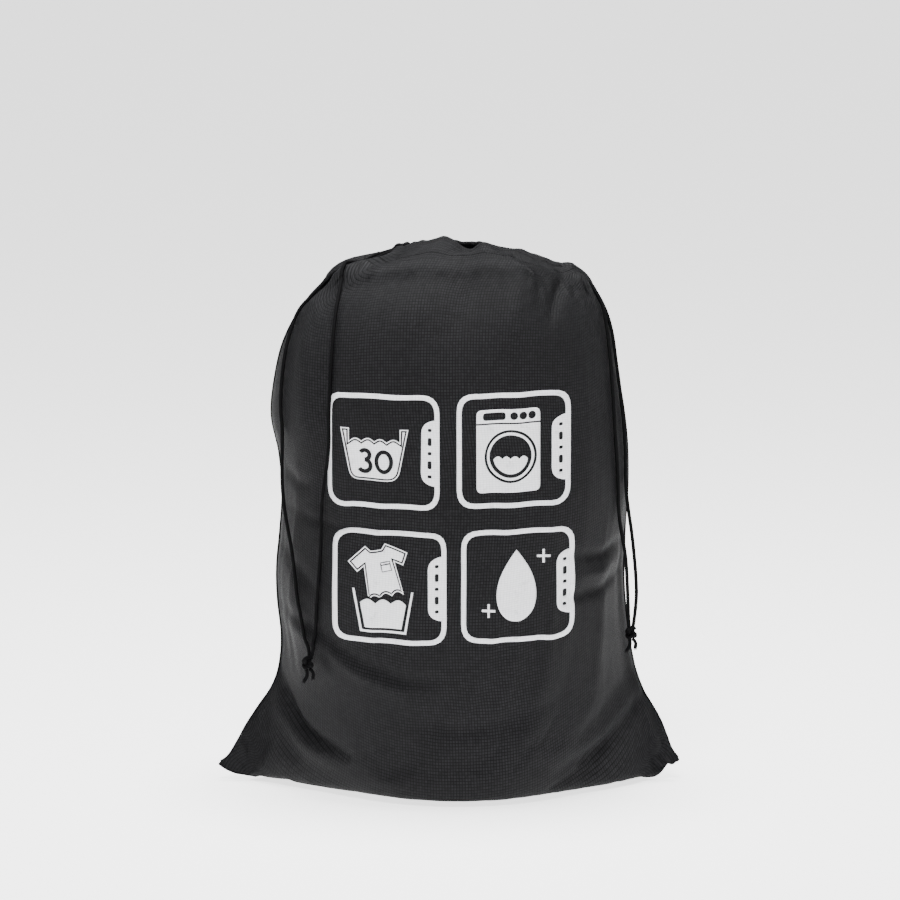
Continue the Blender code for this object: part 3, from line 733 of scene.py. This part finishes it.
def settled_route(route, cloth):
    """The route brought to rest on the cloth wherever it runs close by."""
    shift = np.zeros(route.shape)
    for i, p in enumerate(route):
        height, normal = over_cloth(p, cloth)
        if height < REST_REACH:
            shift[i] = normal * (CORD_REST - height)
    fade = np.minimum(np.arange(len(route)), np.arange(len(route))[::-1]) / 30
    route = route + blurred(shift, 10, ROUTE_STEPS, (0,)) * np.clip(fade, 0, 1)[:, None]
    for i, p in enumerate(route):
        height, normal = over_cloth(p, cloth)
        if height < CORD_REST:
            route[i] = p + normal * (CORD_REST - height)
    return route


def make_cord(name, path, step, material, far_end, lay, **more):
    """A braided piece of cord along the path; step is not used."""
    piece = tube(name, path, CORD_R, material, 12, BRAID_STEP, braid)
    return piece


def make_strand(name, cloth, material, knots):
    """A hanging strand in two pieces: an upper one from the cord exit, and a lower one that runs into the
    knot.
    """
    side = name.split("_")[0]
    route = settled_route(cord_route(name), cloth)
    low = int(np.argmin(np.abs(route[:, 2] - LINK_Z)))
    upper, lower = route[: low + 1], route[low:]
    piece = make_cord(f"{name}_hanging_cord", lower, 4, material, "knot", "hanging",
                      with_pieces=[knots[side]])
    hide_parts(f"{name}_lower_strand")
    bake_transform(piece)
    piece = make_cord(f"{name}_shoulder_cord", upper, 4, material, "object", "hanging")
    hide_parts(f"{name}_upper_strand")
    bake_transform(piece)


def make_tunnel_cord(side_name, side, material):
    """The loop of a drawcord inside the casings, from its exit round and back."""
    level = TUNNEL_LEVELS[side_name]
    steps = [side * CORD_END_U * (1 - 2 * i / 15) for i in range(16)]
    front, back = ([ring_point(way, u, 0.0, level) for u in steps] for way in (-1, 1))
    far = ring_point(-1, -side, 0.0, level)
    corners = [metres(STRANDS[f"{side_name}_{face}"][0]) for face in ("front", "back")]
    path = curve([corners[0], *front, far, *back[::-1], corners[1]], 10)
    for p in path:
        p[2] -= rim_dip(-1 if p[1] < 0 else 1, p[0])
    piece = make_cord(f"{side_name}_casing_cord", path, 2, material, "object", "taut")
    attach(piece, "bag")
    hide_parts(f"{side_name}_tunnel_cord")


def make_cord_end(name, centre, reach, material):
    """The cut end of a strand under its knot, with its frayed hairs."""
    reach = np.array(reach)
    ahead = reach / np.linalg.norm(reach)
    side_a = np.cross(ahead, (0.0, 1.0, 0.0))
    side_b = np.cross(ahead, side_a)
    start = centre + ahead * (KNOT_SIZE[2] - TAIL_INSIDE)
    line = np.array([start + reach * (0.10 + 0.85 * t) + side_a * TAIL_BEND * sin(pi * t)
                     for t in np.linspace(0, 1, 15)])
    parts = [tube("tail", line, CORD_R, material, 12, BRAID_STEP, braid)]
    for k in range(FRAY_HAIRS):
        spread = FRAY_SPREAD * (k / FRAY_HAIRS) ** 0.5
        offset = (side_a * cos(2.4 * k) + side_b * sin(2.4 * k)) * spread
        hair = FRAY_LENGTH * (1 + 0.5 * sin(k * 1.7))
        root = line[-1] - ahead * FRAY_LENGTH / 3 + offset
        hair_line = [root + (ahead * hair + offset * 0.55) * t for t in np.linspace(0, 1, 4)]
        parts.append(tube("hair", hair_line, HAIR_RADIUS, material, 5))
    return joined(f"{name}_cord_end", parts)


def make_knot(side_name, material):
    """An overhand knot in the two strands, with their cut and frayed tails."""
    centre = np.array(KNOTS[side_name])
    turn = np.linspace(0, 2 * pi, 161)
    across = (KNOT_SIZE[0] - CORD_R) / 3
    loop = np.stack([across * (np.sin(turn) + 2 * np.sin(2 * turn)), -KNOT_DEPTH * np.sin(3 * turn),
                     across * 1.25 * (2 * np.cos(2 * turn) - np.cos(turn))], axis=1)
    bow = np.linspace(0.15 * pi, 1.9 * pi, 40)
    ring = np.stack([np.cos(bow), np.sin(2 * bow), np.sin(bow)], axis=1) * BOW_SIZE + BOW_PLACE
    parts = [tube("loop", centre + loop, CORD_R, material, 12, KNOT_STEP, braid),
             tube("bow", centre + ring, CORD_R * 0.95, material, 12, KNOT_STEP, braid)]
    for name, reach in TAILS.items():
        if name.startswith(side_name):
            settle_in(make_cord_end(name, centre, reach, material), f"{name}_tail",
                      f"{side_name}_cord_knot")
    return settle_in(joined(f"{side_name}_overhand_knot", parts), f"{side_name}_knot",
                     f"{side_name}_cord_knot")


# ---- casings, seams and stitches
def rim_dip(side, x):
    """How far the mouth's rim sinks below its even line."""
    return sum(depth * np.exp(-((x - centre) / width) ** 2) for depth, centre, width in RIM_DIPS[side])


def casing_point(side, u, out, down):
    """A point of the finished casing, with the gathers of its cloth."""
    p = ring_point(side, u, out, down)
    normal = ring_point(side, u, out + 0.001, down) - p
    below = abs(down) / HEM_HEIGHT
    ripple = float(gathers(u, side)) * (1 - 0.35 * below) * (1 if out >= 0 else 0.4)
    rim = (0.0007 * sin(u * 34 + side) + 0.0006 * sin(u * 61)) * (0.4 if side < 0 else 1)
    p = p + normal / 0.001 * ripple
    p[2] += rim * (1 - below) - rim_dip(side, p[0])
    return p


def make_casing(face, side, panel, material, thread):
    """The turned-over hem round half the mouth, with its row of stitches."""
    profile = [(HEM_HALF * cos(pi * i / 8), ROLL_DEPTH - ROLL_HEIGHT * sin(pi * i / 8)) for i in range(8)]
    profile += [(-HEM_HALF, down) for down in (ROLL_DEPTH, 0.012, 0.020, HEM_HEIGHT)]
    us = np.linspace(-CASING_END_U, CASING_END_U, CASING_COLUMNS + 1)
    rolled = np.array([[casing_point(side, u, out, down) for u in us] for out, down in profile])
    place = (us + 1) / 2 * (panel.shape[1] - 1)
    normals, columns = grid_normals(panel, side), np.arange(panel.shape[1])
    *sunk, low, top = (read_line(panel[row] + normals[row] * stand, columns, place)
                       for row, stand in CASING_STARTS)
    ahead = (top - low) / np.linalg.norm(top - low, axis=1, keepdims=True)
    reach = np.linalg.norm(rolled[0] - top, axis=1, keepdims=True)
    out_of, into = top + ahead * reach / 3, rolled[0] - (rolled[0] - top) / 3
    wall = [*sunk, low] + [top * (1 - t) ** 3 + out_of * 3 * t * (1 - t) ** 2
                           + into * 3 * t * t * (1 - t) + rolled[0] * t ** 3
                           for t in np.linspace(0, 1, 25)[:-1]]
    wall = np.array(wall)
    if side < 0:
        push = pleat(wall[:, :, 0], wall[:, :, 2]) * np.linspace(1, 0.5, len(wall))[:, None]
        push *= np.clip((np.arange(len(wall)) - 3) / PLEAT_RISE_ROWS, 0, 1)[:, None] ** 1.5
        wall += grid_normals(wall, side) * push[:, :, None]
    outer = np.concatenate([wall, rolled])
    across, up = distances(outer[0]), distances(outer[:, CASING_COLUMNS // 2])
    piece = shell(f"{face}_casing", outer, np.stack(np.meshgrid(across, up), axis=2), CLOTH_THICK, side,
                  material)
    settle_in(piece, f"{face}_hem")
    spots = (np.linspace(-HEM_END_U, HEM_END_U, 601) * 0.98 / CASING_END_U + 1) / 2 * CASING_COLUMNS
    line = read_line(outer[3] + grid_normals(outer, side)[3] * STITCH_STAND,
                     np.arange(CASING_COLUMNS + 1), spots)
    length = distances(line)
    stitches = []
    for i in range(int(length[-1] / STITCH_PITCH)):
        ends = (i + np.array((0.12, 0.5, 0.88))) * STITCH_PITCH
        stitches.append(tube("stitch", read_line(line, length, ends), STITCH_RADIUS, thread, 6))
    row = settle_in(joined(f"{face}_casing_stitches", stitches), f"{face}_hem_stitching")


def stitched(turn, distance):
    """The swell of a sewn seam between its stitches, the same all round."""
    return np.full(turn.shape, SEAM_SWELL * abs(sin(pi * distance / STITCH_PITCH)))


def make_seam(name, node, line, outward, thread):
    """A sewn seam that stands a little proud of the two panels' shared edge."""
    path = line + np.array(outward) * SEAM_RISE
    path[:, 2] = np.maximum(path[:, 2], SEAM_RADIUS + 2 * FLOOR_CLEAR)
    settle_in(tube(name, path, SEAM_RADIUS, thread, 8, STITCH_PITCH / 4, stitched), node)


def make_bartack(side_name, slope, thread):
    """A zigzag of thread that locks the end of a side seam under the cord exit."""
    low, high = (np.array(c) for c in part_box(f"{side_name}_exit_bartack"))
    centre, half = (low + high) / 2, (high - low) / 2
    path = [centre + half * (along, (-1) ** i, -slope * along * 0.6)
            for i, along in enumerate(np.linspace(-1, 1, 12))]
    settle_in(tube(f"{side_name}_exit_zigzag", curve(path, 5), BARTACK_RADIUS, thread, 8),
              f"{side_name}_exit_bartack")


# ---- prints
def arc(cx, cz, radius, start, end, count=24):
    """Points on an arc; the angles are in degrees."""
    return [(cx + radius * cos(radians(start + (end - start) * i / count)),
             cz + radius * sin(radians(start + (end - start) * i / count))) for i in range(count + 1)]


def disc(cx, cz, radius, count=32):
    return arc(cx, cz, radius, 0, 360 * (count - 1) / count, count - 1)


def corners(points):
    """Each corner of an outline, between the one before it and the one after it."""
    points = [Vector(p) for p in points]
    return zip(points[-1:] + points[:-1], points, points[1:] + points[:1])


def rounded(points, radius, steps=5):
    """A polygon with its corners rounded off."""
    result = []
    for before, corner, after in corners(points):
        before, after = before - corner, after - corner
        reach = min(radius, before.length * 0.45, after.length * 0.45)
        a, b = corner + before.normalized() * reach, corner + after.normalized() * reach
        result += [tuple(a * (1 - t) ** 2 + corner * 2 * t * (1 - t) + b * t ** 2)
                   for t in (k / steps for k in range(steps + 1))]
    return result


def box_outline(cx, cz, half_x, half_z, radius):
    return rounded([(cx - half_x, cz - half_z), (cx + half_x, cz - half_z), (cx + half_x, cz + half_z),
                    (cx - half_x, cz + half_z)], radius)


def stroke(points, width):
    """The outline of a line of some width through the points."""
    points = [Vector(p) for p in points]
    left, right = [], []
    for i, p in enumerate(points):
        ahead = (points[min(i + 1, len(points) - 1)] - points[max(i - 1, 0)]).normalized()
        side = Vector((-ahead.y, ahead.x)) * width / 2
        left.append(tuple(p + side))
        right.append(tuple(p - side))
    return left + right[::-1]


def mirrored(points, x):
    """The points, and then their mirror images about an upright line, in order round an outline."""
    return points + [(2 * x - px, pz) for px, pz in points[::-1]]


def wave(x0, x1, z, height, bumps, count=40):
    """A scalloped water line from x0 to x1."""
    return [(x0 + (x1 - x0) * i / count, z + height * abs(sin(pi * bumps * i / count)))
            for i in range(count + 1)]


def shifted(outline, dx, dz, turn):
    """An outline turned by some degrees and then moved."""
    c, s = cos(radians(turn)), sin(radians(turn))
    return [(x * c - z * s + dx, x * s + z * c + dz) for x, z in outline]


def frame_drawing():
    """A rounded square with a filled tab on its right edge; plain bars and dots mark the tab."""
    half, inner, edge = PRINT_HALF, PRINT_HALF - TAB_WIDTH, PRINT_HALF - 1
    tab = [(inner, -TAB_HALF + 4), (edge, -TAB_HALF - 4), (edge, TAB_HALF + 4), (inner, TAB_HALF - 4)]
    layers = [(box_outline(0, 0, half, half, PRINT_CORNER * 1.25), True),
              (box_outline(0, 0, half - PRINT_LINE, half - PRINT_LINE, PRINT_CORNER * 0.95), False),
              (rounded(tab, 10), True)]
    for k, size in enumerate((3, 7.5, 3, 7.5, 3)):
        layers.append((box_outline(half - TAB_WIDTH * 0.52, 13.5 * (2 - k), 2.4, size / 1.6, 2.2), False))
    return layers


def inset(outline, amount):
    """An outline given counter-clockwise, moved inwards all round."""
    result = []
    for before, corner, after in corners(outline):
        one, two = (corner - before).normalized(), (after - corner).normalized()
        inward = Vector((-one.y - two.y, one.x + two.x)).normalized()
        square = max(inward.dot(Vector((-one.y, one.x))), 0.5)
        result.append(tuple(corner + inward * (amount / square)))
    return result


def double_line(outline, white, black):
    """A filled shape with a white line round it and a gap of bare cloth between the two."""
    return [(outline, True), (inset(outline, white), False), (inset(outline, white + black), True)]


def tub_drawing():
    """A filled wash tub with the number of a 30 degree wash."""
    x = -10
    side = rounded([(x - 40, 26.5), (x - 28, -35), (x + 28, -35), (x + 40, 26.5)], 12)[6:-6]
    shape = [(x + 30, 26.5), *wave(x + 30, x - 30, 11, 3.6, 4, 48), (x - 30, 26.5), (x - 40, 26.5),
             *side, (x + 40, 26.5)]
    layers = double_line(shape, 1.3, 1.8)
    layers += [(stroke(arc(x - 11, -5.5, 5.6, 150, -90, 20), 5), False),
               (stroke(arc(x - 11, -18, 6.9, 90, -150, 20), 5), False)]
    oval = [(x + 11.5 + 11 * cos(t), -12.2 + 14.2 * sin(t)) for t in np.linspace(0, 2 * pi, 33)[:-1]]
    return layers + [(oval, False), (inset(oval, 4.8), True)]


def washer_drawing():
    """A front-loading washing machine: a control bar, and a body with a round door and water in it."""
    x, door_x, door_z = -7, -4, -7
    layers = [(box_outline(x, -0.5, 37.5, 48.5, 7), True), (box_outline(x, 31.5, 37.5, 0.9, 0.2), False),
              (box_outline(x - 16.5, 40, 13.5, 4.5, 4.4), False)]
    layers += [(disc(x + 7 + 10.6 * k, 40, 4.6, 20), False) for k in range(3)]
    layers += [(disc(door_x, door_z, 31, 48), False), (disc(door_x, door_z, 28, 48), True),
               (disc(door_x, door_z, 25, 48), False)]
    surface = wave(door_x + 20, door_x - 20, door_z - 3, 3.2, 4)
    return layers + [(arc(door_x, door_z, 20.6, 190, 350, 32) + surface, True)]


def soak_drawing():
    """A shirt that dips into a tub of water."""
    x = -8
    side = [(18.5, 6.5), (27.5, 1), (35.5, 15), (12, 30), (6.5, 24)]
    shirt = wave(-21, 21, -33, 4.5, 3) + mirrored(side, 0)
    layers = double_line(shifted(shirt, x - 3, 20, 12), 1.3, 1.8)
    for line in ([(3, 8), (3, -3), (14, -3), (14, 8), (3, 8)], [(3, 5), (14, 5)]):
        layers.append((shifted(stroke(line, 1.4), x - 4, 20, 12), False))
    layers.append(([(x - 28.5, -24), (x + 28.5, -24), *wave(x + 28.5, x - 28.5, -16.5, 5, 3)], False))
    layers.append(([(x - 21.5, -49), (x + 21.5, -49), *wave(x + 27, x - 27, -20, 5, 3)], True))
    layers.append((mirrored([(x - 36, -4), (x - 33.5, -4), (x - 25, -51.8)], x)
                   + mirrored([(x + 27.2, -54.5)], x), True))
    return layers


def drop_drawing():
    """A water drop between two plus signs."""
    drop = [(-2 + 31.5 * sin(t) * sin(t / 2) * (1 + 0.12 * cos(t)), 43 * cos(t))
            for t in np.linspace(0, 2 * pi, 61)[:-1]]
    layers = [(drop, True)]
    for cx, cz in ((-35, -28.5), (30, 33.5)):
        for half_x, half_z in ((8, 1.4), (1.4, 8)):
            layers.append((box_outline(cx, cz, half_x, half_z, 0.3), True))
    return layers


def inside(outline, x, z):
    """Even-odd test of points against an outline."""
    odd = np.zeros(x.shape, bool)
    for (x0, z0), (x1, z1) in zip(outline, outline[1:] + outline[:1]):
        if z0 != z1:
            odd ^= ((z0 > z) != (z1 > z)) & (x < (x1 - x0) * (z - z0) / (z1 - z0) + x0)
    return odd


def spaced(outline):
    """The outline with long edges divided."""
    result = []
    for (x0, z0), (x1, z1) in zip(outline, outline[1:] + outline[:1]):
        count = max(int(((x1 - x0) ** 2 + (z1 - z0) ** 2) ** 0.5 / INK_EDGE), 1)
        result += [(x0 + (x1 - x0) * i / count, z0 + (z1 - z0) * i / count) for i in range(count)]
    return result


def drawn_triangles(layers):
    """The inked area as triangles: each layer paints or clears what lies inside its outline."""
    points, edges = [], []
    for outline, _ in layers:
        outline = spaced(outline)
        edges += [(len(points) + i, len(points) + (i + 1) % len(outline)) for i in range(len(outline))]
        points += [Vector(p) for p in outline]
    low, high = np.min(points, axis=0), np.max(points, axis=0)
    for x in np.arange(low[0], high[0], INK_GRID):
        points += [Vector((x, z)) for z in np.arange(low[1] + INK_GRID / 3, high[1], INK_GRID)]
    verts, _, faces, *_ = delaunay_2d_cdt(points, edges, [], 0, 1e-3)
    verts, faces = np.array(verts), np.array(faces)
    middle = verts[faces].mean(axis=1)
    inked = np.zeros(len(faces), bool)
    for outline, ink in layers:
        inked[inside(outline, middle[:, 0], middle[:, 1])] = ink
    used, faces = np.unique(faces[inked], return_inverse=True)
    return metres(verts[used]), faces.reshape(-1, 3)


def make_print(name, node, layers, centre, maps, material):
    """A drawing laid on the finished front as a thin closed layer of ink."""
    flat_tree, faces_of, flat, cloth, normals, uv = maps
    verts, faces = drawn_triangles(layers)
    area = np.cross(verts[faces[:, 1]] - verts[faces[:, 0]], verts[faces[:, 2]] - verts[faces[:, 0]])
    faces[area < 0] = faces[area < 0][:, ::-1]
    top, below, where = [], [], []
    for x, z in verts:
        target = Vector((x + centre[0], 0.0, z + centre[1]))
        corners = faces_of[flat_tree.find_nearest(target)[2]]
        spot = [Vector(flat[i]) for i in corners]
        p = barycentric_transform(target, *spot, *(Vector(cloth[i]) for i in corners))
        normal = Vector(np.mean([normals[i] for i in corners], axis=0)).normalized()
        at = barycentric_transform(target, *spot, *(Vector((*uv[i], 0.0)) for i in corners))
        top.append(p + normal * INK_THICK)
        below.append(p - normal * INK_THICK / 2)
        where.append((at.x, at.y))
    count = len(verts)
    faces = faces.tolist()
    pairs = {edge: True for a, b, c in faces for edge in ((a, b), (b, c), (c, a))}
    rim = [(b, a, a + count, b + count) for a, b in pairs if (b, a) not in pairs]
    faces = [tuple(f) for f in faces] + [tuple(i + count for i in f[::-1]) for f in faces] + rim
    corners = [where[i % count] for f in faces for i in f]
    settle_in(make_mesh(name, top + below, faces, material, corners), node)


# ---- the whole scene
make_camera()
make_lights()
make_stage()
cloth_look = cloth_material()
cord_look = thread_material("black_braided_cord", (0.0025, 0.0025, 0.0028), 0.80, 0.0007)
thread_look = thread_material("black_sewing_thread", (0.005, 0.005, 0.0055), 0.6, 0.0005)
ink_look = ink_material()

bases = [panel_grid(-1), panel_grid(1)]
settled = bases
settled = [wrinkles_only(base, cloth) for base, cloth in zip(bases, simulate_cloth(*bases))]
fine = (int(UPWARD * FINE) + 1, int(ACROSS * FINE) + 1)
fine_bases = [finer(grid, *fine) for grid in bases]
finished = [pressed(finer(grid, *fine), base, side)
            for base, grid, side in zip(fine_bases, settled, (-1, 1))]
for end in (0, -1):
    finished[0][:, end] = finished[1][:, end] = (finished[0][:, end] + finished[1][:, end]) / 2
finished[0][0] = finished[1][0] = (finished[0][0] + finished[1][0]) / 2
flats = [finer(np.stack(flat_cloth(grid), axis=2), *fine) for grid in bases]

cells = grid_cells(*fine)
both = np.concatenate([cells, cells[:, ::-1] + fine[0] * fine[1]])
cloth_tree = BVHTree.FromPolygons(np.concatenate(finished).reshape(-1, 3).tolist(), both.tolist())
knots = {side: make_knot(side, cord_look) for side in ("left", "right")}
for strand in STRANDS:
    make_strand(strand, cloth_tree, cord_look, knots)
for side_name, side in (("left", -1), ("right", 1)):
    make_tunnel_cord(side_name, side, cord_look)

for face, side, grid, flat in zip(("front", "back"), (-1, 1), finished, flats):
    make_casing(face, side, grid, cloth_look, thread_look)
    panel = settle_in(shell(f"{face}_cloth", grid, flat, CLOTH_THICK, side, cloth_look), f"{face}_panel")
for side_name, end, way in (("left", 0, -1), ("right", -1, 1)):
    make_seam(f"{side_name}_sewn_seam", f"{side_name}_side_seam", finished[0][2:, end], (way, 0, 0),
              thread_look)
    make_bartack(side_name, way, thread_look)
make_seam("base_sewn_seam", "bottom_seam", finished[0][0, 3:-3], (0, 0, 0), thread_look)

triangles = np.concatenate([cells[:, :3], cells[:, [0, 2, 3]]]).tolist()
flattened = fine_bases[0].reshape(-1, 3) * (1.0, 0.0, 1.0)
print_maps = (BVHTree.FromPolygons(flattened.tolist(), triangles), triangles, flattened,
              finished[0].reshape(-1, 3), grid_normals(finished[0], -1).reshape(-1, 3),
              flats[0].reshape(-1, 2))
for name, draw in (("tub", tub_drawing), ("washer", washer_drawing), ("soak", soak_drawing),
                   ("drop", drop_drawing)):
    make_print(f"{name}_square", f"{name}_print_frame", frame_drawing(), PRINTS[name], print_maps, ink_look)
    make_print(f"{name}_pictogram", f"{name}_print_symbol", draw(), PRINTS[name], print_maps, ink_look)
